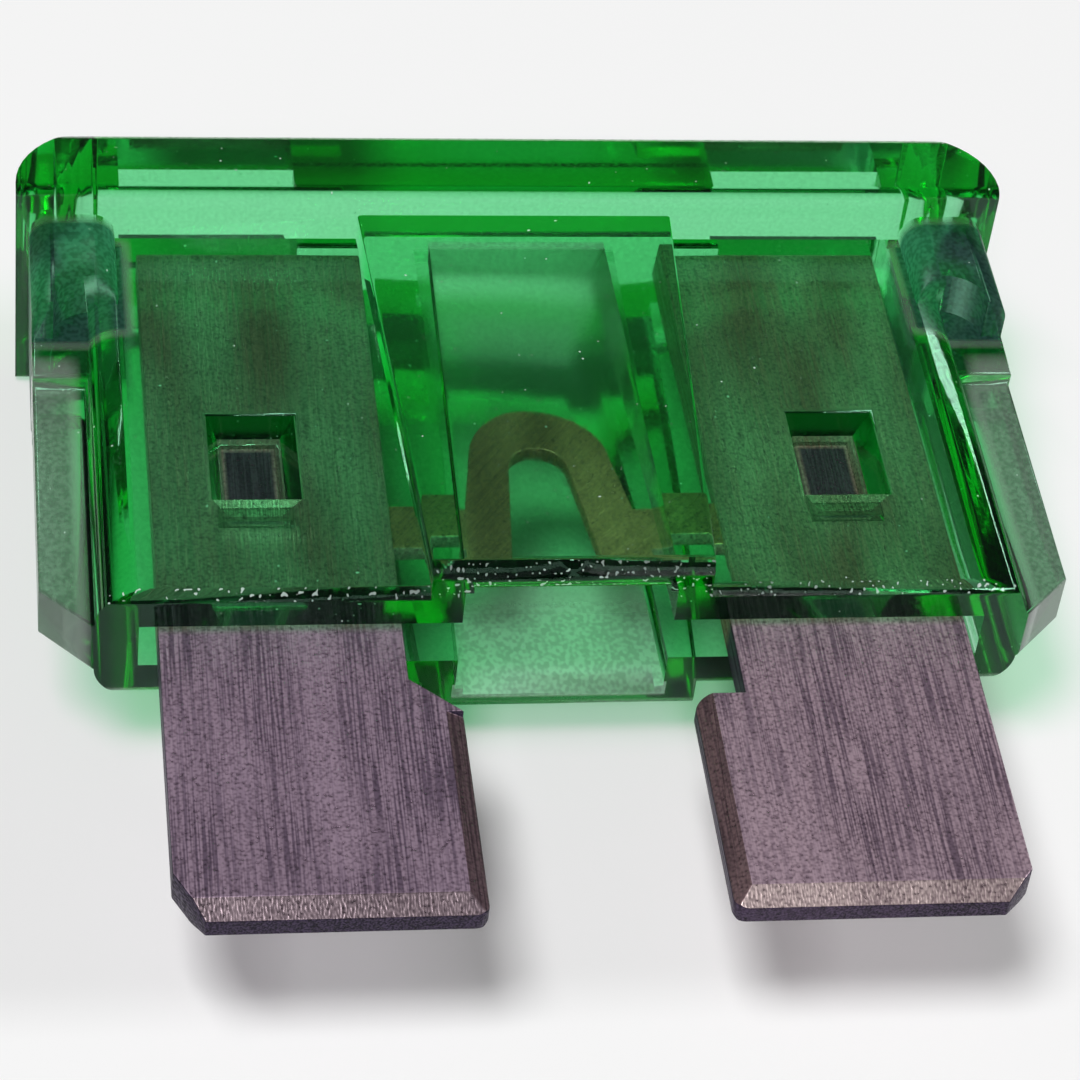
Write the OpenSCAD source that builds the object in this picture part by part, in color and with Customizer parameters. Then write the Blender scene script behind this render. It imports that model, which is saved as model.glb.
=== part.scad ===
// Regular-size automotive blade fuse, lying on its back.
// A moulded see-through housing, open at the blade end, holds one stamped metal
// piece: two blades joined by a thin arched link.
// X is the width, +Y points from the blades to the head, +Z is the thickness.
// The sizes below are heights above the open end of the housing. The finished
// fuse stands centred over the origin, with its back on the plane Z = 0.

/* [Head] */

// Width of the head across the fuse
head_width = 19.1; // [18.7:0.1:21]

// Length of the head along the fuse
head_length = 1.8; // [1.7:0.1:3]

// Thickness of the head from front to back
head_thickness = 4.8; // [4.2:0.1:6]

// Radius of the two outer corners of the head, seen from the front
head_corner = 1.6; // [0.6:0.1:1.7]

// Rounding of the long edges of the head
head_edge = 0.25; // [0.1:0.05:0.6]

/* [Body] */

// Length of the housing from its open end to the head
body_length = 9.75; // [9.4:0.1:12]

// Width of the flat part of the body, without its fins
body_width = 16.7; // [16.3:0.1:17.4]

// Thickness of the body over the blades
body_thickness = 2.44; // [2.2:0.02:3]

// Rounding of the long edges at the open end
end_edge = 0.2; // [0.05:0.05:0.3]

/* [Fins] */

// Width across the two fins at the sides of the body
fin_width = 18.6; // [17.8:0.1:19]

// Thickness of a fin
fin_thickness = 1.1; // [0.8:0.05:1.4]

// Size of the slanted corner at the open end of a fin
fin_chamfer = 0.9; // [0.4:0.1:1.4]

/* [Ears] */

// Thickness of the ears that join the fins to the head
ear_thickness = 3.6; // [3:0.1:4.1]

// Length of an ear from the head to the middle of its round end
ear_length = 2.55; // [2:0.05:3]

// Radius of the round end of the hollow below an ear
ear_hollow = 0.75; // [0.6:0.05:1]

// Distance from the outer edge of a fin to the middle of that hollow
hollow_inset = 1.15; // [0.7:0.05:1.2]

// Rounding of the outer edges of an ear
ear_edge = 0.45; // [0.2:0.05:0.6]

// Thickness of the ledge below an ear
ledge_thickness = 1.8; // [1.5:0.05:2.1]

// Length of the ledge, measured from the head
ledge_length = 3.6; // [3.2:0.1:4.6]

/* [Window] */

// Thickness of the raised window over the link
window_thickness = 3.6; // [3.2:0.1:4]

// Width of the window at the open end
window_width_end = 5; // [4.7:0.1:6]

// Width of the window at the head
window_width_head = 6.1; // [5.2:0.1:6.6]

// Rounding of the window's edge at the open end
window_edge = 0.3; // [0.1:0.05:0.4]

/* [Cavity] */

// Inner height of the cavity around the link
cavity_thickness = 2.4; // [2:0.1:2.6]

// Width of the cavity at the open end
cavity_width_end = 3.8; // [3.6:0.1:4]

// Width of the cavity at its closed end
cavity_width_head = 3.4; // [3:0.1:3.7]

// Depth of the cavity from the open end
cavity_length = 9.3; // [8.6:0.1:9.6]

// Length of the slanted lead-in at the mouth of the cavity
mouth_length = 0.6; // [0.3:0.1:1]

// Depth of the slanted lead-in at the mouth of the cavity
mouth_depth = 0.15; // [0.05:0.05:0.2]

/* [Blades] */

// Width across both blades
blade_span = 14.5; // [14:0.1:14.8]

// Width of a blade
blade_width = 5.2; // [4.8:0.1:5.4]

// Thickness of the stamped metal
blade_thickness = 0.65; // [0.5:0.05:0.8]

// Length of a blade outside the housing
blade_length = 6.5; // [5.5:0.1:8]

// Width of the blade's narrow neck inside the housing
neck_width = 4.3; // [3.8:0.1:4.6]

// Distance from the housing to the slanted shoulder of the left blade
left_shoulder = 1.2; // [0.6:0.1:2]

// Length of the slanted shoulder of the left blade
left_shoulder_rise = 0.8; // [0.4:0.1:1.2]

// Distance from the housing to the square shoulder of the right blade
right_shoulder = 1.65; // [0.8:0.05:2.2]

// Radius of the square shoulder of the right blade
right_shoulder_round = 0.3; // [0.1:0.05:0.5]

// Width of the cut outer corner at the tip of a blade
tip_corner_width = 0.5; // [0.2:0.05:0.8]

// Length of the cut outer corner at the tip of the left blade
left_corner_length = 0.95; // [0.4:0.05:1.2]

// Length of the cut outer corner at the tip of the right blade
right_corner_length = 0.6; // [0.3:0.05:1]

// Radius of the inner corner at the tip of a blade
tip_inner_round = 0.25; // [0.1:0.05:0.4]

// Length of the slanted lead-in at the tip of a blade
tip_bevel_length = 0.4; // [0.3:0.05:0.8]

// Thickness left at the end of the tip
tip_thickness = 0.35; // [0.15:0.05:0.4]

// Width of the bevel along the inner edge of a blade
edge_bevel_width = 0.32; // [0.1:0.02:0.5]

// Thickness left at the bevelled inner edge
edge_bevel_left = 0.3; // [0.2:0.05:0.5]

/* [Link] */

// Thickness of the thinned link
link_thickness = 0.3; // [0.2:0.05:0.5]

// Height of the middle of the link's arch above the open end
arch_centre = 4.4; // [3.8:0.1:5]

// Outer radius of the arch
arch_outer = 1.38; // [1.2:0.02:1.5]

// Height of the middle of the arch's inner curve above the open end
arch_inner_centre = 4.15; // [3.6:0.05:4.6]

// Radius of the arch's inner curve
arch_inner = 0.55; // [0.4:0.05:0.7]

// Height of the feet of the link above the open end
foot_height = 1.5; // [1.3:0.1:1.8]

// Half of the width across the feet
foot_reach = 1.82; // [1.6:0.02:1.85]

// Half of the width between the feet
foot_gap = 0.84; // [0.6:0.02:1]

// Height of the lower edge of the webs above the open end
web_height = 1.9; // [1.7:0.1:2.4]

// Width of the webs that join the link to the blades
web_width = 1.1; // [0.8:0.1:1.5]

/* [Fits] */

// Gap between the flat side of the metal and its slot
slot_face_gap = 0.15; // [0.05:0.01:0.2]

// Gap between the outer edge of the metal and its slot
slot_side_gap = 0.33; // [0.1:0.01:0.4]

// Depth of the slot from the open end, where the metal seats
slot_length = 9.9; // [9.6:0.1:10.4]

/* [Stakes] */

// Distance from the middle of the fuse to each stake pit
pit_offset = 5.4; // [4.8:0.1:5.8]

// Height of the middle of a pit above the open end
pit_height = 3.6; // [2.6:0.1:5]

// Width of a pit at the surface
pit_width = 1.66; // [1.2:0.02:2]

// Length of a pit along the fuse
pit_length = 2.25; // [1.6:0.05:2.6]

// Width of a pit where it meets the metal
pit_floor_width = 0.96; // [0.6:0.02:1.2]

// Width of the staked plastic that grips the metal around a pit
stake_rim = 0.2; // [0.1:0.05:0.3]

/* [Probe slots] */

// Width of the test slots in the top of the head
probe_width = 3.4; // [2.6:0.1:3.6]

// Distance from the middle of the fuse to each test slot
probe_offset = 5.85; // [5.6:0.05:5.9]

/* [Hidden] */

$fn = 48;

// Overlap of shapes that are joined or cut, so that no face is shared
lap = 0.2;

// Amount that a cut runs past the surface it opens
clear = 1;

head_top = body_length + head_length;
lift = head_thickness / 2;
shift = (blade_length - head_top) / 2;
body_corner = (body_thickness - fin_thickness) / 2;
slot_width = blade_span + 2 * slot_side_gap;
slot_thickness = blade_thickness + 2 * slot_face_gap;
ear_inner = body_width / 2 - body_corner;
ledge_inner = body_width / 2 - lap;
blade_inner = blade_span / 2 - blade_width;
neck_inner = blade_span / 2 - neck_width;
web_end = neck_inner + lap;

// Draws its child and the mirrored copy on the other side of the fuse
module both_sides() {
    children();
    mirror([1, 0, 0]) children();
}

// Draws its child on the front and its mirrored copy on the back
module both_faces() {
    children();
    mirror([0, 0, 1]) children();
}

// Extrudes a front view, drawn in X and Y, evenly about the middle plane
module front_view(thickness) {
    translate([0, 0, -thickness / 2])
        linear_extrude(thickness)
            children();
}

// Extrudes a side view, drawn in Y and Z, evenly about the middle plane
module side_view(width) {
    translate([-width / 2, 0, 0])
        rotate([90, 0, 90])
            linear_extrude(width)
                children();
}

// Extrudes an end view, drawn in X and Z, from one height to another
module end_view(from, to) {
    translate([0, to, 0])
        rotate([90, 0, 0])
            linear_extrude(to - from)
                children();
}

// Rectangle between two corners
module span(low, high) {
    translate(low)
        square(high - low);
}

// Rectangle centred on the middle plane, with the corners of both ends rounded
// by their own radius
module rounded_strip(from, to, thickness, from_round, to_round) {
    half = thickness / 2;
    span([from + from_round, -half], [to - to_round, half]);
    span([from, from_round - half], [to, half - from_round]);
    span([from + from_round, to_round - half], [to, half - to_round]);
    for (side = [-1, 1]) {
        translate([from + from_round, side * (half - from_round)])
            circle(from_round);
        translate([to - to_round, side * (half - to_round)])
            circle(to_round);
    }
}

// Head plate with its two rounded outer corners
module head() {
    half = head_width / 2;
    intersection() {
        front_view(head_thickness + clear)
            union() {
                span([-half, body_length], [half, head_top - head_corner]);
                span([head_corner - half, body_length], [half - head_corner, head_top]);
                for (side = [-1, 1])
                    translate([side * (half - head_corner), head_top - head_corner])
                        circle(head_corner);
            }
        side_view(head_width + clear)
            rounded_strip(body_length, head_top, head_thickness, end_edge, head_edge);
    }
}

// Flat part of the body over the blades, with its rounded sides
module body_core() {
    intersection() {
        end_view(-clear, body_length + lap)
            union() {
                square([body_width - 2 * body_corner, body_thickness], center = true);
                square([body_width, fin_thickness], center = true);
                for (side = [-1, 1], face = [-1, 1])
                    translate([
                        side * (body_width / 2 - body_corner),
                        face * (body_thickness / 2 - body_corner)
                    ])
                        circle(body_corner);
            }
        side_view(body_width + clear)
            rounded_strip(0, body_length + clear, body_thickness, end_edge, end_edge);
    }
}

// Thin fins along both sides, with a slanted corner at the open end
module fins() {
    half = fin_width / 2;
    front_view(fin_thickness)
        polygon([
            [fin_chamfer - half, 0],
            [half - fin_chamfer, 0],
            [half, fin_chamfer],
            [half, body_length + lap],
            [-half, body_length + lap],
            [-half, fin_chamfer]
        ]);
}

// Thick ear below the head, with a hollow round end over a thinner ledge
module ear() {
    half = fin_width / 2;
    end = body_length - ear_length;
    difference() {
        end_view(end, body_length + lap)
            rounded_strip(ear_inner, half, ear_thickness, ear_edge, ear_edge);
        both_faces()
            translate([half - hollow_inset, end, ledge_thickness / 2])
                cylinder(h = ear_thickness, r = ear_hollow);
    }
    front_view(ledge_thickness)
        span([ledge_inner, body_length - ledge_length], [half, body_length + lap]);
}

// Outline that changes its width evenly, run on past both of its ends
module tapered(width_end, width_head, length, past) {
    slope = (width_head - width_end) / length / 2;
    low = width_end / 2 - slope * clear;
    high = width_head / 2 + slope * past;
    polygon([
        [-low, -clear],
        [low, -clear],
        [high, length + past],
        [-high, length + past]
    ]);
}

// Raised window over the link, a little wider towards the head
module window_box() {
    intersection() {
        front_view(window_thickness + clear)
            tapered(window_width_end, window_width_head, body_length, lap);
        side_view(window_width_head + clear)
            rounded_strip(0, body_length + clear, window_thickness, window_edge, end_edge);
    }
}

// Space around the link, with a slanted lead-in at its mouth
module cavity() {
    inner = cavity_thickness / 2;
    front_view(cavity_thickness)
        tapered(cavity_width_end, cavity_width_head, cavity_length, 0);
    side_view(cavity_width_end - 2 * mouth_depth)
        polygon([
            [-clear, -inner - mouth_depth],
            [0, -inner - mouth_depth],
            [mouth_length, -inner],
            [mouth_length, inner],
            [0, inner + mouth_depth],
            [-clear, inner + mouth_depth]
        ]);
}

// Slot for the metal piece, from the open end to its seat
module metal_slot() {
    front_view(slot_thickness)
        span([-slot_width / 2, -clear], [slot_width / 2, slot_length]);
}

// Test slot through the top of the head, down to the edge of the metal
module probe_slot() {
    front_view(slot_thickness)
        translate([probe_offset - probe_width / 2, slot_length - lap])
            square([probe_width, head_top - slot_length + lap + clear]);
}

// Plastic pressed against the metal around a stake pit
module stake() {
    width = pit_floor_width + 2 * stake_rim;
    length = pit_length + 2 * stake_rim;
    translate([
        pit_offset - width / 2,
        pit_height - length / 2,
        blade_thickness / 2
    ])
        cube([width, length, slot_face_gap + lap]);
}

// Pit left by the staking tool, narrower at the metal than at the surface
module stake_pit() {
    bottom = blade_thickness / 2;
    top = body_thickness / 2;
    slope = (pit_width - pit_floor_width) / (top - bottom) / 2;
    low = pit_floor_width / 2 - slope * lap;
    high = pit_width / 2 + slope * lap;
    translate([pit_offset, 0, 0])
        end_view(pit_height - pit_length / 2, pit_height + pit_length / 2)
            polygon([
                [-low, bottom - lap],
                [low, bottom - lap],
                [high, top + lap],
                [-high, top + lap]
            ]);
}

// Moulded housing: head, body, fins, ears and window, hollowed for the metal
module housing() {
    color([0.16, 0.62, 0.38, 0.7])
        translate([0, shift, lift])
            difference() {
                union() {
                    difference() {
                        union() {
                            head();
                            body_core();
                            fins();
                            both_sides() ear();
                            window_box();
                        }
                        cavity();
                        metal_slot();
                    }
                    both_sides() both_faces() stake();
                }
                both_sides() probe_slot();
                both_sides() both_faces() stake_pit();
            }
}

// Front view of one blade with its neck, drawn on the +X side
module blade_outline(shoulder, shoulder_rise, shoulder_round, corner_length) {
    outer = blade_span / 2;
    difference() {
        polygon([
            [neck_inner, slot_length],
            [neck_inner, -shoulder],
            [blade_inner, -shoulder - shoulder_rise],
            [blade_inner, -blade_length],
            [outer - tip_corner_width, -blade_length],
            [outer, corner_length - blade_length],
            [outer, slot_length]
        ]);
        translate([blade_inner, -blade_length])
            inner_corner(tip_inner_round);
        if (shoulder_round > 0)
            translate([blade_inner, -shoulder])
                mirror([0, 1]) inner_corner(shoulder_round);
    }
}

// Waste outside a quarter round, in the corner at the origin
module inner_corner(radius) {
    difference() {
        translate([-clear, -clear])
            square(clear + radius);
        translate([radius, radius])
            circle(radius);
    }
}

// One blade with the slanted lead-in at its tip and its bevelled inner edge
module blade(shoulder, shoulder_rise, shoulder_round, corner_length) {
    half = blade_thickness / 2;
    bevel_top = -shoulder - shoulder_rise;
    intersection() {
        front_view(blade_thickness)
            blade_outline(shoulder, shoulder_rise, shoulder_round, corner_length);
        side_view(blade_span + clear)
            polygon([
                [-blade_length, -tip_thickness / 2],
                [-blade_length, tip_thickness / 2],
                [tip_bevel_length - blade_length, half],
                [slot_length, half],
                [slot_length, -half],
                [tip_bevel_length - blade_length, -half]
            ]);
        union() {
            end_view(-blade_length - clear, bevel_top)
                polygon([
                    [blade_inner, -edge_bevel_left / 2],
                    [blade_inner, edge_bevel_left / 2],
                    [blade_inner + edge_bevel_width, half],
                    [blade_span / 2, half],
                    [blade_span / 2, -half],
                    [blade_inner + edge_bevel_width, -half]
                ]);
            end_view(bevel_top, slot_length + clear)
                span([blade_inner, -half], [blade_span / 2, half]);
        }
    }
}

// Thin arch that melts, with its two feet and the webs to the blades
module link() {
    front_view(link_thickness)
        difference() {
            union() {
                translate([0, arch_centre])
                    circle(arch_outer);
                polygon([
                    [-foot_reach, foot_height],
                    [foot_reach, foot_height],
                    [arch_outer, arch_centre],
                    [-arch_outer, arch_centre]
                ]);
                span([-web_end, web_height], [web_end, web_height + web_width]);
            }
            translate([0, arch_inner_centre])
                circle(arch_inner);
            polygon([
                [-foot_gap, foot_height - clear],
                [foot_gap, foot_height - clear],
                [foot_gap, foot_height],
                [arch_inner, arch_inner_centre],
                [-arch_inner, arch_inner_centre],
                [-foot_gap, foot_height]
            ]);
        }
}

// Stamped metal piece: both blades and the link between them
module fuse_element() {
    color([0.56, 0.52, 0.57])
        translate([0, shift, lift])
            union() {
                mirror([1, 0, 0])
                    blade(left_shoulder, left_shoulder_rise, 0, left_corner_length);
                blade(right_shoulder, 0, right_shoulder_round, right_corner_length);
                link();
            }
}

housing();
fuse_element();
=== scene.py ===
"""Looks of a regular-size automotive blade fuse that lies on its back.

The see-through green housing and the stamped metal piece are copies of the
solids in the frame, with their edges rounded and their surfaces finished.
"""

import logging
import math
from collections.abc import Callable
from dataclasses import dataclass, field
from enum import Enum

import bmesh
import bpy
from mathutils import Matrix, Vector


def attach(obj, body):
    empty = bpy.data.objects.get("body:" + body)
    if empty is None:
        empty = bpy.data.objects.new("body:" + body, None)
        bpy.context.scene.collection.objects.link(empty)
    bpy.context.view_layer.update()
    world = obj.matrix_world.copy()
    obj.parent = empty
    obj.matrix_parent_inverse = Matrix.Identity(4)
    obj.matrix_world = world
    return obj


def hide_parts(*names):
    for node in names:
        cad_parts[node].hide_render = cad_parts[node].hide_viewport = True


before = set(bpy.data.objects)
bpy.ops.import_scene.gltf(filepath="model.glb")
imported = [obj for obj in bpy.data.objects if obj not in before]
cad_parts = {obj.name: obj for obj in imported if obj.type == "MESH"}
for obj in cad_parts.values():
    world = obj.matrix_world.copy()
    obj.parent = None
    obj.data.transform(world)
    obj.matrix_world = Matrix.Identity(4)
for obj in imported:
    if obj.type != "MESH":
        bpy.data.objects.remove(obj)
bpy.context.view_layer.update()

LOG = logging.getLogger("blade_fuse")
Colour = tuple[float, float, float]
Span = tuple[float, float]
Place = tuple[float, float, float]
WHITE: Colour = (1.0, 1.0, 1.0)
MM = 0.001


@dataclass(frozen=True)
class Stretch:
    """A stretch along one axis in millimetres, with soft ends."""

    low: float
    high: float
    soft: float


class MetalFace(Enum):
    """Material slots of the stamped metal piece."""

    ROLLED = 0
    COINED = 1
    SHEARED = 2
    LEAD_IN = 3
    LINK = 4


class NodeSheet:
    """Small helper that adds and joins the nodes of one material or world."""

    def __init__(self, tree: bpy.types.NodeTree) -> None:
        """Starts from an empty tree.

        Args:
            tree: The node tree to fill.
        """
        self.tree = tree
        self.tree.nodes.clear()

    def add(self, kind: str, **values: object) -> bpy.types.Node:
        """Adds one node and sets its properties.

        Args:
            kind: Type name of the node.
            **values: Properties of the node, such as operation.

        Returns:
            The new node.
        """
        node = self.tree.nodes.new(kind)
        for name, value in values.items():
            setattr(node, name, value)
        return node

    def join(self, source: bpy.types.NodeSocket, target: bpy.types.NodeSocket) -> None:
        """Links two sockets."""
        self.tree.links.new(source, target)

    def feed(
        self, value: bpy.types.NodeSocket | Colour | float, target: bpy.types.NodeSocket
    ) -> None:
        """Links a socket to the target, or writes a colour or number on it.

        Args:
            value: What the target gets.
            target: The input socket.
        """
        if isinstance(value, bpy.types.NodeSocket):
            self.join(value, target)
        elif isinstance(value, tuple):
            target.default_value = (*value, 1.0)
        else:
            target.default_value = value

    def place(self) -> bpy.types.Node:
        """The place on the piece, as three values.

        Returns:
            The Separate XYZ node.
        """
        node = self.add("ShaderNodeSeparateXYZ")
        self.join(self.add("ShaderNodeTexCoord").outputs["Object"], node.inputs["Vector"])
        return node

    def object_space(self, scale: Place, turn: float = 0.0) -> bpy.types.NodeSocket:
        """Object coordinates, turned about the vertical and stretched by a scale.

        Args:
            scale: Factor on each axis.
            turn: Angle in degrees.

        Returns:
            The vector socket of the Mapping node.
        """
        place = self.add("ShaderNodeTexCoord")
        mapping = self.add("ShaderNodeMapping", vector_type="TEXTURE")
        mapping.inputs["Rotation"].default_value = (0.0, 0.0, math.radians(turn))
        mapping.inputs["Scale"].default_value = tuple(1.0 / factor for factor in scale)
        self.join(place.outputs["Object"], mapping.inputs["Vector"])
        return mapping.outputs["Vector"]

    def noise(
        self,
        scale: float,
        stretch: Place = (1.0, 1.0, 1.0),
        turn: float = 0.0,
    ) -> bpy.types.NodeSocket:
        """Noise of one octave over the piece.

        Args:
            scale: Number of bumps in a metre.
            stretch: Factor on each axis, small along a streak.
            turn: Angle of the streaks, in degrees.

        Returns:
            The factor socket.
        """
        node = self.add("ShaderNodeTexNoise")
        node.inputs["Scale"].default_value = scale
        node.inputs["Detail"].default_value = 0.0
        self.join(self.object_space(stretch, turn), node.inputs["Vector"])
        return node.outputs["Fac"]

    def ramp(
        self,
        source: bpy.types.NodeSocket,
        low: float,
        high: float,
        start: Colour,
        end: Colour,
    ) -> bpy.types.NodeSocket:
        """Colour that runs between two values of a factor.

        Args:
            source: The factor.
            low: Factor at the first colour.
            high: Factor at the second colour.
            start: First colour.
            end: Second colour.

        Returns:
            The colour socket.
        """
        node = self.add("ShaderNodeValToRGB")
        node.color_ramp.elements[0].position = low
        node.color_ramp.elements[0].color = (*start, 1.0)
        node.color_ramp.elements[1].position = high
        node.color_ramp.elements[1].color = (*end, 1.0)
        self.join(source, node.inputs["Fac"])
        return node.outputs["Color"]

    def span(
        self, source: bpy.types.NodeSocket, low: float, high: float, start: float, end: float
    ) -> bpy.types.NodeSocket:
        """Value that runs evenly between two values of a factor, and no further.

        Args:
            source: The factor.
            low: Factor at the first value.
            high: Factor at the second value.
            start: First value.
            end: Second value.

        Returns:
            The value socket.
        """
        node = self.add("ShaderNodeMapRange", clamp=True)
        node.inputs["From Min"].default_value = low
        node.inputs["From Max"].default_value = high
        node.inputs["To Min"].default_value = start
        node.inputs["To Max"].default_value = end
        self.join(source, node.inputs["Value"])
        return node.outputs["Result"]

    def blend(
        self,
        factor: bpy.types.NodeSocket | float,
        first: bpy.types.NodeSocket | Colour,
        second: bpy.types.NodeSocket | Colour,
        mode: str = "MIX",
    ) -> bpy.types.NodeSocket:
        """Mixes two colours.

        Args:
            factor: Share of the second colour.
            first: First colour.
            second: Second colour.
            mode: Way of mixing.

        Returns:
            The colour socket.
        """
        node = self.add("ShaderNodeMix", data_type="RGBA", blend_type=mode)
        self.feed(factor, node.inputs[0])
        self.feed(first, node.inputs[6])
        self.feed(second, node.inputs[7])
        return node.outputs[2]

    def maths(
        self,
        operation: str,
        first: bpy.types.NodeSocket | float,
        second: bpy.types.NodeSocket | float = 0.0,
    ) -> bpy.types.NodeSocket:
        """Joins two values by one operation.

        Args:
            operation: Name of the operation.
            first: First value.
            second: Second value, if the operation takes one.

        Returns:
            The value socket.
        """
        node = self.add("ShaderNodeMath", operation=operation)
        self.feed(first, node.inputs[0])
        self.feed(second, node.inputs[1])
        return node.outputs[0]

    def within(self, source: bpy.types.NodeSocket, stretch: Stretch) -> bpy.types.NodeSocket:
        """One within a stretch and zero beyond it.

        Args:
            source: The place along the axis, in metres.
            stretch: The stretch.

        Returns:
            The value socket.
        """
        low, high, soft = (size * MM for size in (stretch.low, stretch.high, stretch.soft))
        rise = self.span(source, low - soft, low, 0.0, 1.0)
        fall = self.span(source, high, high + soft, 1.0, 0.0)
        return self.all_of(rise, fall)

    def all_of(self, *masks: bpy.types.NodeSocket) -> bpy.types.NodeSocket:
        """One where all masks are one.

        Args:
            *masks: The masks.

        Returns:
            The value socket.
        """
        joined = masks[0]
        for mask in masks[1:]:
            joined = self.maths("MULTIPLY", joined, mask)
        return joined

    def bump(self, height: bpy.types.NodeSocket, depth: float) -> bpy.types.NodeSocket:
        """Bump of a height map.

        Args:
            height: The height, from 0 to 1.
            depth: Depth of the relief in metres.

        Returns:
            The normal socket.
        """
        node = self.add("ShaderNodeBump")
        node.inputs["Strength"].default_value = 1.0
        node.inputs["Distance"].default_value = depth
        self.join(height, node.inputs["Height"])
        return node.outputs["Normal"]


@dataclass(frozen=True)
class Frost:
    """A duller surface on part of the plastic."""

    tone: Colour
    rough: float
    clear: float
    darkest: float = 0.7


@dataclass(frozen=True)
class ClearGreenPlastic:
    """See-through green moulding, frosted in the cavity and duller at the sides, with the ears
    painted dark teal and mottled with painted highlights.
    """

    name: str = "clear green plastic"
    tint: Colour = (0.93, 0.99, 0.95)
    gloss: Colour = (0.45, 1.0, 0.7)
    absorbed: Colour = (0.03, 0.89, 0.41)
    let_through: Colour = (0.77, 0.87, 0.81)
    stray: Colour = (0.95, 0.98, 0.96)
    density: float = 710.0
    refraction: float = 1.5
    polished: float = 0.03
    worn: float = 0.12
    cavity: Frost = Frost((0.58, 0.93, 0.70), 0.3, 0.6)
    # the ears are painted dark teal; the lighter grain mottles on them are painted highlights
    ears: Frost = Frost((0.06, 0.15, 0.16), 0.34, 0.76, 0.45)
    fins: Frost = Frost((0.27, 0.38, 0.30), 0.22, 0.6)
    soft_floor: float = 0.26
    grain_scale: float = 13000.0
    grain_stretch: Place = (1.0, 0.8, 1.0)
    tone_span: Span = (0.35, 0.7)
    wear_span: Span = (0.4, 0.7)
    frost_span: Span = (0.35, 0.65)
    dull_share: float = 0.9
    rim_dust: float = 0.175
    dust_span: Span = (0.865, 0.90)
    dust_cover: float = 0.8
    dust_clear: float = 0.1
    lint: Colour = (0.66, 0.82, 0.76)
    cavity_half_width: float = 1.95
    cavity_height: Stretch = Stretch(1.0, 3.7, 0.05)
    cavity_deep: Stretch = Stretch(3.6, 6.9, 1.0)
    cavity_end: Stretch = Stretch(6.65, 6.9, 0.12)
    mouth: Stretch = Stretch(-3.0, -0.8, 1.6)
    mouth_height: Stretch = Stretch(0.0, 1.3, 0.01)
    ear_width: Stretch = Stretch(7.6, 10.0, 0.25)
    ear_length: Stretch = Stretch(4.6, 6.95, 0.3)
    fin_width: Stretch = Stretch(8.7, 10.0, 0.3)
    fin_length: Stretch = Stretch(-3.0, 3.4, 0.8)
    rim_length: Stretch = Stretch(-2.6, -2.35, 0.08)
    rim_height: Stretch = Stretch(3.45, 5.0, 0.01)

    def material(self) -> bpy.types.Material:
        """Builds the material.

        Returns:
            The material, for all faces of the housing.
        """
        made = bpy.data.materials.new(self.name)
        made.use_nodes = True
        sheet = NodeSheet(made.node_tree)
        out = sheet.add("ShaderNodeOutputMaterial")
        shader = sheet.add("ShaderNodeBsdfPrincipled")
        shader.inputs["IOR"].default_value = self.refraction
        shader.inputs["Specular Tint"].default_value = (*self.gloss, 1.0)
        self._surface(sheet, shader)
        sheet.join(self._lit_through(sheet, shader), out.inputs["Surface"])
        depth = sheet.add("ShaderNodeVolumeAbsorption")
        depth.inputs["Color"].default_value = (*self.absorbed, 1.0)
        depth.inputs["Density"].default_value = self.density
        sheet.join(depth.outputs["Volume"], out.inputs["Volume"])
        return made

    def _surface(self, sheet: NodeSheet, shader: bpy.types.Node) -> None:
        """Sets the colour, roughness and clearness of the surface.

        Args:
            sheet: The node tree of the material.
            shader: The plastic's shader.
        """
        grain = sheet.noise(self.grain_scale, self.grain_stretch)
        place = sheet.place()
        off_x = sheet.maths("ABSOLUTE", place.outputs["X"])
        zones = (
            (self._cavity_mask(sheet, off_x, place), self.cavity),
            (self._side_mask(sheet, off_x, place, self.ear_width, self.ear_length), self.ears),
            (self._side_mask(sheet, off_x, place, self.fin_width, self.fin_length), self.fins),
        )
        dull = tuple(c * self.dull_share for c in self.tint)
        colour = sheet.ramp(grain, *self.tone_span, self.tint, dull)
        rough = sheet.span(grain, *self.wear_span, self.polished, self.worn)
        clear = 1.0
        for mask, frost in zones:
            # on the ears the lighter grain mottles are painted highlights
            darkest = tuple(c * frost.darkest for c in frost.tone)
            toned = sheet.ramp(grain, *self.frost_span, darkest, frost.tone)
            colour = sheet.blend(mask, colour, toned)
            rough = sheet.maths("MAXIMUM", rough, sheet.span(mask, 0.0, 1.0, 0.0, frost.rough))
            clear = sheet.maths("MINIMUM", clear, sheet.span(mask, 0.0, 1.0, 1.0, frost.clear))
        dusty = self._dust_mask(sheet, grain, place)
        colour = sheet.blend(dusty, colour, self.lint)
        under_dust = sheet.span(dusty, 0.0, 1.0, 1.0, self.dust_clear)
        clear = sheet.maths("MINIMUM", clear, under_dust)
        soft = sheet.span(self._deep_mask(sheet, off_x, place), 0.0, 1.0, 0.0, self.soft_floor)
        sheet.join(colour, shader.inputs["Base Color"])
        sheet.join(sheet.maths("MAXIMUM", rough, soft), shader.inputs["Roughness"])
        sheet.join(clear, shader.inputs["Transmission Weight"])

    def _lit_through(self, sheet: NodeSheet, shader: bpy.types.Node) -> bpy.types.NodeSocket:
        """Lets lamps and scattered light reach what lies behind the plastic.

        Args:
            sheet: The node tree of the material.
            shader: The plastic's shader.

        Returns:
            The shader socket.
        """
        path = sheet.add("ShaderNodeLightPath")
        surface = shader.outputs["BSDF"]
        for ray, tone in (("Is Diffuse Ray", self.stray), ("Is Shadow Ray", self.let_through)):
            through = sheet.add("ShaderNodeBsdfTransparent")
            through.inputs["Color"].default_value = (*tone, 1.0)
            either = sheet.add("ShaderNodeMixShader")
            sheet.join(path.outputs[ray], either.inputs[0])
            sheet.join(surface, either.inputs[1])
            sheet.join(through.outputs["BSDF"], either.inputs[2])
            surface = either.outputs["Shader"]
        return surface

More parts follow.
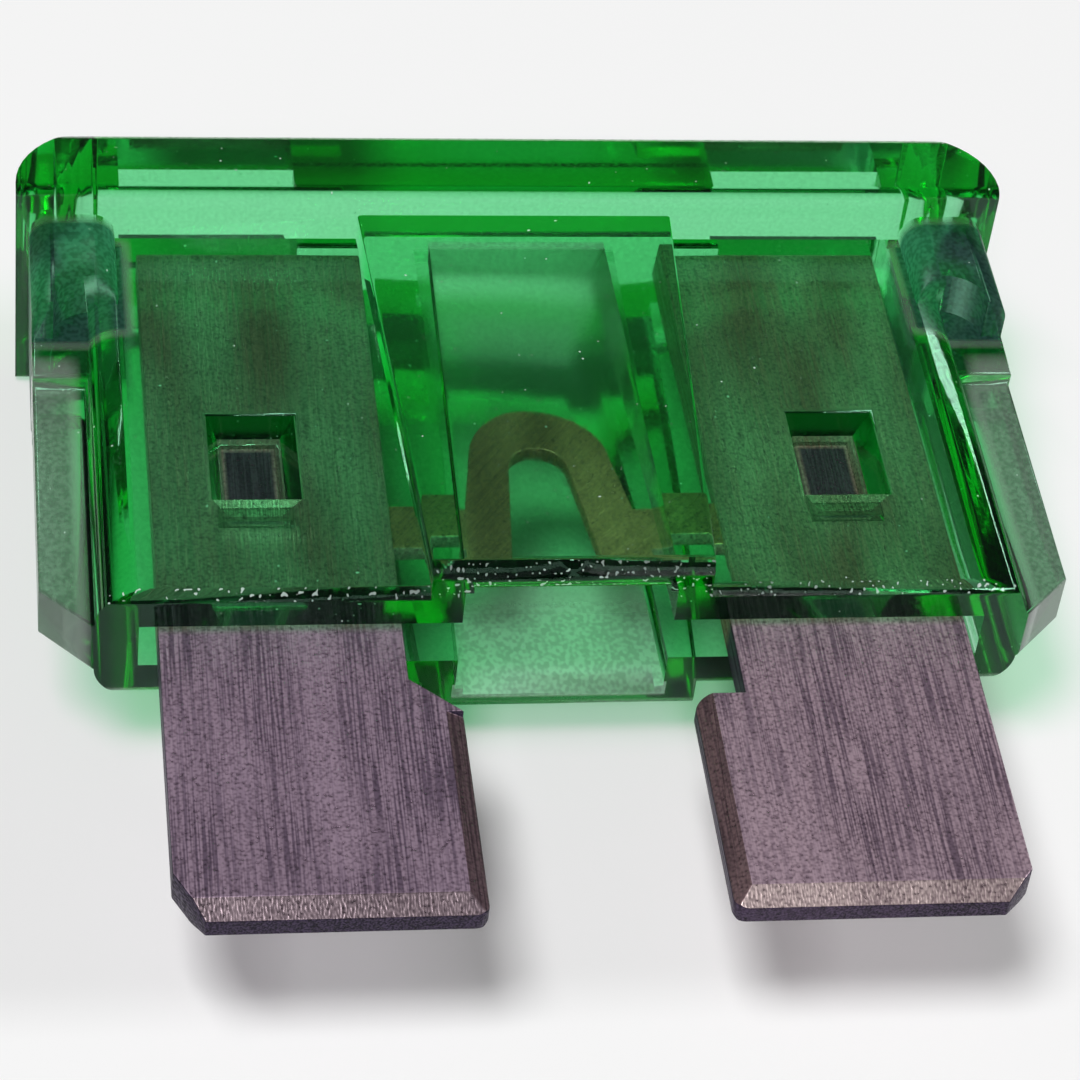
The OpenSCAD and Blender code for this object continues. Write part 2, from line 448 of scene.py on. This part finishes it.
    def _cavity_mask(
        self, sheet: NodeSheet, off_x: bpy.types.NodeSocket, place: bpy.types.Node
    ) -> bpy.types.NodeSocket:
        """One on the floor of the mouth and at the closed end of the cavity.

        Args:
            sheet: The node tree of the material.
            off_x: Distance from the middle plane.
            place: The node that gives the place on the piece.

        Returns:
            The value socket, from 0 to 1.
        """
        inside = self._inside_cavity(sheet, off_x, place)
        mouth = sheet.all_of(
            sheet.within(place.outputs["Z"], self.mouth_height),
            sheet.within(place.outputs["Y"], self.mouth),
        )
        end = sheet.within(place.outputs["Y"], self.cavity_end)
        return sheet.all_of(inside, sheet.maths("MAXIMUM", mouth, end))

    def _deep_mask(
        self, sheet: NodeSheet, off_x: bpy.types.NodeSocket, place: bpy.types.Node
    ) -> bpy.types.NodeSocket:
        """One on the walls of the inner half of the cavity, which are only half polished.

        Args:
            sheet: The node tree of the material.
            off_x: Distance from the middle plane.
            place: The node that gives the place on the piece.

        Returns:
            The value socket, from 0 to 1.
        """
        along = sheet.within(place.outputs["Y"], self.cavity_deep)
        return sheet.all_of(self._inside_cavity(sheet, off_x, place), along)

    def _inside_cavity(
        self, sheet: NodeSheet, off_x: bpy.types.NodeSocket, place: bpy.types.Node
    ) -> bpy.types.NodeSocket:
        """One on all walls of the cavity.

        Args:
            sheet: The node tree of the material.
            off_x: Distance from the middle plane.
            place: The node that gives the place on the piece.

        Returns:
            The value socket, from 0 to 1.
        """
        beside = sheet.maths("LESS_THAN", off_x, self.cavity_half_width * MM)
        return sheet.all_of(beside, sheet.within(place.outputs["Z"], self.cavity_height))

    def _side_mask(
        self,
        sheet: NodeSheet,
        off_x: bpy.types.NodeSocket,
        place: bpy.types.Node,
        across: Stretch,
        along: Stretch,
    ) -> bpy.types.NodeSocket:
        """One on a part of both sides of the housing.

        Args:
            sheet: The node tree of the material.
            off_x: Distance from the middle plane.
            place: The node that gives the place on the piece.
            across: Where the part is, from the middle outwards.
            along: Where the part is along the fuse.

        Returns:
            The value socket, from 0 to 1.
        """
        return sheet.all_of(
            sheet.within(off_x, across), sheet.within(place.outputs["Y"], along)
        )

    def _dust_mask(
        self, sheet: NodeSheet, grain: bpy.types.NodeSocket, place: bpy.types.Node
    ) -> bpy.types.NodeSocket:
        """One on specks of dust, many along the rim of the open end and few elsewhere.

        Args:
            sheet: The node tree of the material.
            grain: Noise that scatters the specks.
            place: The node that gives the place on the piece.

        Returns:
            The value socket, from 0 to 1.
        """
        rim = sheet.all_of(
            sheet.within(place.outputs["Y"], self.rim_length),
            sheet.within(place.outputs["Z"], self.rim_height),
        )
        level = sheet.span(rim, 0.0, 1.0, 0.0, self.rim_dust)
        scattered = sheet.maths("ADD", grain, level)
        return sheet.span(scattered, *self.dust_span, 0.0, self.dust_cover)


@dataclass(frozen=True)
class StampedMetal:
    """Tarnished strip metal with draw lines and pits, painted lighter and greener inside the
    housing as light that comes through the plastic.
    """

    name: str
    dark: Colour
    light: Colour
    stain: Colour
    # painted light: inside the housing the metal is lighter and greener, as lit through the
    # plastic
    lit_inside_dark: Colour = (0.24, 0.14, 0.10)
    lit_inside_light: Colour = (0.34, 0.43, 0.28)
    # painted shade: the metal at the bottom of the stake pits is near black
    painted_pit_shade: Colour = (0.035, 0.05, 0.05)
    # painted shade: the left blade is multiplied darker and bluer than the right
    left_blade_shade: Colour = (0.80, 0.80, 0.88)
    speck: Colour = (0.45, 0.42, 0.45)
    metallic: float = 0.6
    refraction: float = 1.6
    smooth: float = 0.32
    rough: float = 0.55
    turn: float = 0.0
    relief: float = 0.018 * MM
    line_scale: float = 26000.0
    line_stretch: Place = (1.0, 0.022, 1.0)
    line_depth: float = 0.35
    gloss_span: Span = (0.3, 0.7)
    streak_span: Span = (0.36, 0.64)
    stain_scale: float = 1000.0
    stain_stretch: Place = (1.0, 0.3, 1.0)
    stain_span: Span = (0.4, 0.65)
    stain_share: Span = (0.15, 0.55)
    patch_span: Span = (0.3, 0.7)
    mottle_span: Span = (0.3, 0.68)
    mottle_lines: float = 0.4
    mottle_patches: float = 0.6
    speck_scale: float = 17000.0
    speck_span: Span = (0.2, 0.62)
    hollow_span: Span = (0.19, 0.26)
    hollow_level: float = 0.35
    covered_span: Span = (-2.6 * MM, -2.3 * MM)
    side_span: Span = (-1.0 * MM, 1.0 * MM)
    pit_width: Stretch = Stretch(5.0, 5.8, 0.1)
    pit_length: Stretch = Stretch(0.1, 2.1, 0.1)

    def material(self) -> bpy.types.Material:
        """Builds the material.

        Returns:
            The material, for one kind of face of the metal piece.
        """
        made = bpy.data.materials.new(self.name)
        made.use_nodes = True
        sheet = NodeSheet(made.node_tree)
        out = sheet.add("ShaderNodeOutputMaterial")
        shader = sheet.add("ShaderNodeBsdfPrincipled")
        shader.inputs["Metallic"].default_value = self.metallic
        shader.inputs["IOR"].default_value = self.refraction
        lines = sheet.noise(self.line_scale, self.line_stretch, self.turn)
        specks = sheet.noise(self.speck_scale)
        hollows = sheet.span(specks, *self.hollow_span, self.hollow_level, 1.0)
        sheet.join(self._colour(sheet, lines, specks, hollows), shader.inputs["Base Color"])
        gloss = sheet.span(lines, *self.gloss_span, self.rough, self.smooth)
        sheet.join(gloss, shader.inputs["Roughness"])
        grooves = sheet.maths("MULTIPLY", lines, self.line_depth)
        height = sheet.maths("ADD", grooves, hollows)
        sheet.join(sheet.bump(height, self.relief), shader.inputs["Normal"])
        sheet.join(shader.outputs["BSDF"], out.inputs["Surface"])
        return made

    def _colour(
        self,
        sheet: NodeSheet,
        lines: bpy.types.NodeSocket,
        specks: bpy.types.NodeSocket,
        hollows: bpy.types.NodeSocket,
    ) -> bpy.types.NodeSocket:
        """Colour of the metal, outside and inside the housing. Inside it is painted lighter
        and greener as light through the plastic; the stake pits and the left blade get painted
        shade.

        Args:
            sheet: The node tree of the material.
            lines: The draw lines.
            specks: Fine noise.
            hollows: Low where the surface is pitted, one elsewhere.

        Returns:
            The colour socket.
        """
        place = sheet.place()
        broad = sheet.noise(self.stain_scale, self.stain_stretch)
        streaks = sheet.ramp(lines, *self.streak_span, self.dark, self.light)
        stains = sheet.ramp(broad, *self.stain_span, self.stain, self.light)
        patches = sheet.span(broad, *self.patch_span, *self.stain_share)
        outside = sheet.blend(patches, streaks, stains)
        mottled = sheet.maths(
            "ADD",
            sheet.maths("MULTIPLY", lines, self.mottle_lines),
            sheet.maths("MULTIPLY", broad, self.mottle_patches),
        )
        # painted light inside the housing, mottled by the draw lines and stains
        inside = sheet.ramp(mottled, *self.mottle_span, self.lit_inside_dark, self.lit_inside_light)
        covered = sheet.span(place.outputs["Y"], *self.covered_span, 0.0, 1.0)
        strip = sheet.blend(covered, outside, inside)
        # painted shade on the floor of the stake pits
        painted_pit_shade = sheet.blend(hollows, self.dark, self.painted_pit_shade)
        with_pit_shade = sheet.blend(self._pit_shade_mask(sheet, place), strip, painted_pit_shade)
        spots = sheet.ramp(specks, *self.speck_span, self.speck, WHITE)
        spotted = sheet.blend(1.0, with_pit_shade, spots, "MULTIPLY")
        # painted shade: darker on the left blade, full colour on the right
        right = sheet.span(place.outputs["X"], *self.side_span, 0.0, 1.0)
        return sheet.blend(1.0, spotted, sheet.blend(right, self.left_blade_shade, WHITE), "MULTIPLY")

    def _pit_shade_mask(self, sheet: NodeSheet, place: bpy.types.Node) -> bpy.types.NodeSocket:
        """One at the bottom of the stake pits, where shade is painted on the metal.

        Args:
            sheet: The node tree of the material.
            place: The node that gives the place on the piece.

        Returns:
            The value socket, from 0 to 1.
        """
        off_x = sheet.maths("ABSOLUTE", place.outputs["X"])
        across = sheet.within(off_x, self.pit_width)
        along = sheet.within(place.outputs["Y"], self.pit_length)
        return sheet.all_of(across, along)


class DressedPiece:
    """A copy of one solid of the frame, merged, rounded and shaded."""

    MERGE_DISTANCE = 0.0005 * MM
    FLAT_ANGLE = math.radians(0.6)
    SHARP_ANGLE = math.radians(40.0)
    FACE_WEIGHT = 100

    def __init__(self, node: str, name: str, slot: str) -> None:
        """Takes the solid that the piece stands for.

        Args:
            node: Name of the node in the frame.
            name: Name of the new piece.
            slot: Name of a material slot of the frame; kept on the piece, not used.
        """
        self.node = node
        self.name = name
        self.slot = slot
        self.mesh = bmesh.new()
        self.mesh.from_mesh(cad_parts[node].data)
        bmesh.ops.remove_doubles(self.mesh, verts=self.mesh.verts, dist=self.MERGE_DISTANCE)
        bmesh.ops.dissolve_limit(
            self.mesh,
            angle_limit=self.FLAT_ANGLE,
            verts=self.mesh.verts,
            edges=self.mesh.edges,
            use_dissolve_boundaries=False,
        )

    def round_edges(
        self, width: float, segments: int, wanted: Callable[[bmesh.types.BMEdge], bool]
    ) -> int:
        """Rounds the edges that a rule picks.

        Args:
            width: Width of the rounding, in metres.
            segments: Number of faces across the rounding.
            wanted: Rule that says whether an edge is rounded.

        Returns:
            The number of edges rounded.
        """
        self.mesh.normal_update()
        picked = [e for e in self.mesh.edges if len(e.link_faces) == 2 and wanted(e)]
        bmesh.ops.bevel(
            self.mesh,
            geom=picked,
            offset=width,
            offset_type="OFFSET",
            affect="EDGES",
            segments=segments,
            profile=0.5,
            material=-1,
            clamp_overlap=False,
        )
        return len(picked)

    def place(self, materials: list[bpy.types.Material]) -> bpy.types.Object:
        """Makes the object, which stands for the frame's node.

        Args:
            materials: Materials of the piece, in the order of its slots.

        Returns:
            The new object.
        """
        data = bpy.data.meshes.new(self.name)
        self.mesh.to_mesh(data)
        self.mesh.free()
        piece = bpy.data.objects.new(self.name, data)
        bpy.context.scene.collection.objects.link(piece)
        for made in materials:
            data.materials.append(made)
        for face in data.polygons:
            face.use_smooth = True
        data.set_sharp_from_angle(angle=self.SHARP_ANGLE)
        shading = piece.modifiers.new("flat faces", "WEIGHTED_NORMAL")
        shading.keep_sharp = True
        shading.weight = self.FACE_WEIGHT
        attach(piece, "root")
        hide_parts(self.node)
        LOG.info("%s: %d faces", self.name, len(data.polygons))
        return piece


def turn_of(edge: bmesh.types.BMEdge) -> float:
    """Angle between the two faces of an edge, in degrees."""
    return math.degrees(abs(edge.calc_face_angle_signed()))


@dataclass
class Housing:
    """The moulded housing, with its outer edges a little rounded."""

    edge: float = 0.07 * MM
    segments: int = 3
    least_turn: float = 60.0
    least_length: float = 0.35 * MM
    middle: float = 2.4 * MM
    inner_half_width: float = 2.1 * MM
    inner_half_height: float = 1.4 * MM
    slot_half_height: float = 0.5 * MM
    head_corners: float = 8.7 * MM
    ears_from: float = 4.3 * MM
    ears_beyond: float = 7.3 * MM
    finish: ClearGreenPlastic = field(default_factory=ClearGreenPlastic)

    def build(self) -> bpy.types.Object:
        """Builds the housing.

        Returns:
            The housing's object.
        """
        piece = DressedPiece("housing", "housing_shell", "housing_plastic")
        count = piece.round_edges(self.edge, self.segments, self._outer_edge)
        LOG.info("housing: %d edges rounded", count)
        return piece.place([self.finish.material()])

    def _outer_edge(self, edge: bmesh.types.BMEdge) -> bool:
        """Whether an edge is a long one on the outside of the housing.

        Args:
            edge: The edge.

        Returns:
            True if it is rounded.
        """
        if not edge.is_convex or turn_of(edge) < self.least_turn:
            return False
        if edge.calc_length() < self.least_length:
            return False
        centre = (edge.verts[0].co + edge.verts[1].co) / 2
        height = abs(centre.z - self.middle)
        in_cavity = abs(centre.x) < self.inner_half_width and height < self.inner_half_height
        in_ear = centre.y > self.ears_from and abs(centre.x) > self.ears_beyond
        in_slot = height < self.slot_half_height
        return not (in_cavity or in_ear or in_slot or centre.y > self.head_corners)


@dataclass
class FuseElement:
    """The stamped metal piece: blades, coined edges and the link."""

    edge: float = 0.03 * MM
    least_turn: float = 20.0
    segments: int = 2
    link_half_width: float = 2.0 * MM
    level_from: float = 0.99
    upright_to: float = 0.2
    crosswise_to: float = 0.1
    rolled: StampedMetal = StampedMetal(
        "rolled face", (0.15, 0.10, 0.145), (0.66, 0.48, 0.57), (0.37, 0.26, 0.33)
    )
    coined: StampedMetal = StampedMetal(
        "coined edge", (0.08, 0.045, 0.055), (0.27, 0.17, 0.18), (0.15, 0.09, 0.105)
    )
    # the upright sheared sides are rough metal, partly real and partly painted near black as
    # shade
    sheared_and_shaded: StampedMetal = StampedMetal(
        "sheared side with painted shade", (0.015, 0.008, 0.022), (0.07, 0.042, 0.09), (0.03, 0.02, 0.055),
        smooth=0.4, rough=0.7
    )
    # the lead-in on the left blade gets a much darker painted shade than the right
    lead_in: StampedMetal = StampedMetal(
        "lead-in", (0.20, 0.14, 0.15), (0.62, 0.49, 0.48), (0.36, 0.27, 0.29),
        left_blade_shade=(0.46, 0.44, 0.50), smooth=0.28, rough=0.5
    )
    # the link's colours inside the housing are painted lighter, as lit through the plastic
    link: StampedMetal = StampedMetal(
        "link face", (0.10, 0.07, 0.04), (0.30, 0.24, 0.13), (0.20, 0.15, 0.08),
        lit_inside_dark=(0.15, 0.085, 0.03), lit_inside_light=(0.52, 0.34, 0.15), turn=-38.0
    )

    def build(self) -> bpy.types.Object:
        """Builds the metal piece.

        Returns:
            The metal piece's object.
        """
        piece = DressedPiece("fuse_element", "stamped_element", "element_metal")
        for face in piece.mesh.faces:
            face.material_index = self._kind(face).value
        count = piece.round_edges(
            self.edge, self.segments, lambda edge: turn_of(edge) > self.least_turn
        )
        LOG.info("element: %d edges rounded", count)
        return piece.place(
            [
                self.rolled.material(),
                self.coined.material(),
                self.sheared_and_shaded.material(),
                self.lead_in.material(),
                self.link.material(),
            ]
        )

    def _kind(self, face: bmesh.types.BMFace) -> MetalFace:
        """Kind of a face, from its place and the way it looks.

        Args:
            face: The face.

        Returns:
            The kind of face.
        """
        normal = face.normal
        if abs(face.calc_center_median().x) < self.link_half_width:
            return MetalFace.LINK
        if abs(normal.z) > self.level_from:
            return MetalFace.ROLLED
        if abs(normal.z) <= self.upright_to:
            return MetalFace.SHEARED
        return MetalFace.COINED if abs(normal.y) <= self.crosswise_to else MetalFace.LEAD_IN


@dataclass(frozen=True)
class Lamp:
    """A soft square lamp that looks at the fuse, in metres and watts."""

    name: str
    place: Place
    width: float
    power: float


@dataclass
class Studio:
    """Pale floor, soft lamps and the camera, with its eye and target in millimetres."""

    floor_size: float = 0.9
    floor_drop: float = 0.01 * MM
    floor_tone: float = 0.9
    surround: float = 0.09
    lamps: tuple[Lamp, ...] = (
        Lamp("overhead", (-0.28, -0.08, 0.88), 0.40, 5.65),
        Lamp("front", (-0.20, -0.68, 0.64), 0.24, 2.52),
        Lamp("right side", (0.80, -0.08, 0.48), 0.24, 2.52),
    )
    eye: Place = (-10.58, -49.42, 49.97)
    target: Place = (-0.17, 0.055, 2.4)
    roll: float = 7.62
    focal: float = 126.6
    sensor: float = 36.0
    nearest: float = 0.002
    furthest: float = 10.0

    def build(self) -> None:
        """Builds the floor, the surroundings, the lamps and the camera."""
        self._floor()
        self._world()
        for lamp in self.lamps:
            self._light(lamp)
        self._camera()

    def _floor(self) -> None:
        """Builds the pale floor below the fuse."""
        mesh = bmesh.new()
        bmesh.ops.create_grid(mesh, x_segments=1, y_segments=1, size=self.floor_size / 2)
        bmesh.ops.translate(mesh, verts=mesh.verts, vec=Vector((0, 0, -self.floor_drop)))
        data = bpy.data.meshes.new("floor")
        mesh.to_mesh(data)
        mesh.free()
        floor = bpy.data.objects.new("floor", data)
        bpy.context.scene.collection.objects.link(floor)
        made = bpy.data.materials.new("pale floor")
        made.use_nodes = True
        sheet = NodeSheet(made.node_tree)
        out = sheet.add("ShaderNodeOutputMaterial")
        matt = sheet.add("ShaderNodeBsdfDiffuse")
        matt.inputs["Color"].default_value = (self.floor_tone,) * 3 + (1.0,)
        sheet.join(matt.outputs["BSDF"], out.inputs["Surface"])
        data.materials.append(made)

    def _world(self) -> None:
        """Lights everything evenly."""
        world = bpy.data.worlds.new("studio")
        bpy.context.scene.world = world
        world.use_nodes = True
        sheet = NodeSheet(world.node_tree)
        out = sheet.add("ShaderNodeOutputWorld")
        shade = sheet.add("ShaderNodeBackground")
        shade.inputs["Color"].default_value = (*WHITE, 1.0)
        shade.inputs["Strength"].default_value = self.surround
        sheet.join(shade.outputs["Background"], out.inputs["Surface"])

    def _light(self, lamp: Lamp) -> None:
        """Adds one lamp.

        Args:
            lamp: The lamp's name, place, width and power.
        """
        data = bpy.data.lights.new(lamp.name, "AREA")
        data.shape = "SQUARE"
        data.size = lamp.width
        data.energy = lamp.power
        light = bpy.data.objects.new(lamp.name, data)
        light.location = lamp.place
        light.rotation_mode = "QUATERNION"
        light.rotation_quaternion = (-Vector(lamp.place)).to_track_quat("-Z", "Y")
        bpy.context.scene.collection.objects.link(light)

    def _camera(self) -> None:
        """Stands the camera where the photograph was taken from."""
        data = bpy.data.cameras.new("camera")
        data.sensor_width = self.sensor
        data.lens = self.focal
        data.clip_start = self.nearest
        data.clip_end = self.furthest
        camera = bpy.data.objects.new("camera", data)
        eye, target = (Vector(p) * MM for p in (self.eye, self.target))
        look = (target - eye).to_track_quat("-Z", "Y").to_matrix()
        turned = look @ Matrix.Rotation(math.radians(self.roll), 3, "Z")
        camera.matrix_world = Matrix.Translation(eye) @ turned.to_4x4()
        bpy.context.scene.collection.objects.link(camera)
        bpy.context.scene.camera = camera


def plain_view() -> None:
    """Shows colours as they are written."""
    bpy.context.scene.view_settings.view_transform = "Standard"


def main() -> None:
    """Builds the pieces and the studio."""
    logging.basicConfig(level=logging.INFO, format="%(message)s")
    plain_view()
    for sub_assembly in (Housing(), FuseElement()):
        piece = sub_assembly.build()
        LOG.info("%s is built", piece.name)
    Studio().build()


if __name__ == "__main__":
    main()
